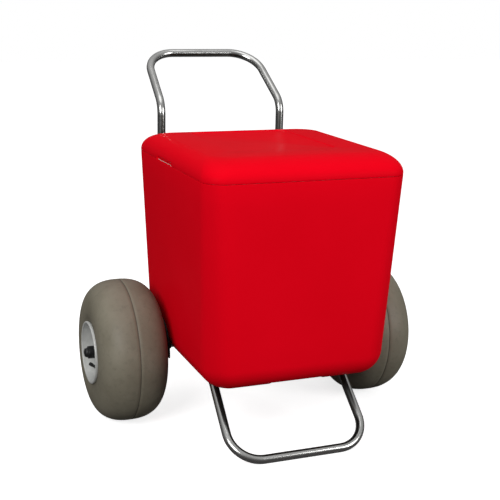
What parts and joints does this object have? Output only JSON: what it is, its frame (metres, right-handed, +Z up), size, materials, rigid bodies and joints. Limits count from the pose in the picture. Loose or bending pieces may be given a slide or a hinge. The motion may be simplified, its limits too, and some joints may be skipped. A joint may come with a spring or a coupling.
{
  "type": "wheeled cooler",
  "caption": "Insulated cooler box with a hinged lid on a bent tube frame, with balloon wheels on a through axle, a pull handle behind and a foot loop in front.",
  "frame": {"origin": "on the ground, straight under the middle of the axle", "axes": "+Z up, +Y to the back where the handle is, +X to the right seen from the front; the axle runs along X"},
  "size_m": [1.006, 0.929, 1.047],
  "materials": {
    "red_plastic": "satin",
    "white_plastic": "satin",
    "foam": "matte",
    "polished_steel": "polished",
    "zinc_steel": "satin",
    "rim_aluminium": "satin",
    "balloon_tyre": "satin",
    "black_plastic": "satin",
    "black_rubber": "matte"
  },
  "bodies": {
    "cart": {"tub_shell": "red_plastic", "tub_foam": "foam", "tub_liner": "white_plastic", "drain_tube": "white_plastic", "axle": "polished_steel", "handle_tube": "polished_steel", "foot_tube": "polished_steel", "rail_tube_left": "polished_steel", "sleeve_back_left": "zinc_steel", "sleeve_base_left": "zinc_steel", "back_clamp_upper_left": "black_plastic", "back_clamp_lower_left": "black_plastic", "base_clamp_front_left": "black_plastic", "base_clamp_rear_left": "black_plastic", "axle_block_left": "zinc_steel", "axle_plate_left": "black_plastic", "washer_inner_left": "zinc_steel", "washer_outer_left": "zinc_steel", "axle_cap_left": "black_plastic", "hinge_body_leaf_left": "zinc_steel", "hinge_pin_left": "polished_steel", "rail_tube_right": "polished_steel", "sleeve_back_right": "zinc_steel", "sleeve_base_right": "zinc_steel", "back_clamp_upper_right": "black_plastic", "back_clamp_lower_right": "black_plastic", "base_clamp_front_right": "black_plastic", "base_clamp_rear_right": "black_plastic", "axle_block_right": "zinc_steel", "axle_plate_right": "black_plastic", "washer_inner_right": "zinc_steel", "washer_outer_right": "zinc_steel", "axle_cap_right": "black_plastic", "hinge_body_leaf_right": "zinc_steel", "hinge_pin_right": "polished_steel"},
    "lid": {"lid_shell": "red_plastic", "lid_liner": "white_plastic", "lid_foam": "foam", "lid_gasket": "black_rubber", "hinge_lid_leaf_left": "zinc_steel", "hinge_lid_leaf_right": "zinc_steel"},
    "wheel_left": {"tyre_left": "balloon_tyre", "rim_outer_left": "rim_aluminium", "rim_inner_left": "rim_aluminium", "valve_left": "black_rubber", "hub_left": "zinc_steel", "bush_outer_left": "black_plastic", "bush_inner_left": "black_plastic"},
    "wheel_right": {"tyre_right": "balloon_tyre", "rim_outer_right": "rim_aluminium", "rim_inner_right": "rim_aluminium", "valve_right": "black_rubber", "hub_right": "zinc_steel", "bush_outer_right": "black_plastic", "bush_inner_right": "black_plastic"},
    "drain_plug": {"drain_plug": "black_plastic"}
  },
  "joints": [
    {"name": "lid_hinge", "type": "hinge", "parent": "cart", "child": "lid", "pos_m": [0, 0.2035, 0.771], "axis": [-1, 0, 0], "range_deg": [0, 65]},
    {"name": "wheel_left_spin", "type": "hinge", "parent": "cart", "child": "wheel_left", "pos_m": [-0.39, 0, 0.2082], "axis": [1, 0, 0], "continuous": true},
    {"name": "wheel_right_spin", "type": "hinge", "parent": "cart", "child": "wheel_right", "pos_m": [0.39, 0, 0.2082], "axis": [1, 0, 0], "continuous": true},
    {"name": "drain_plug_pull", "type": "slide", "parent": "cart", "child": "drain_plug", "axis": [0, 1, 0], "range_m": [0, 0.04]}
  ]
}
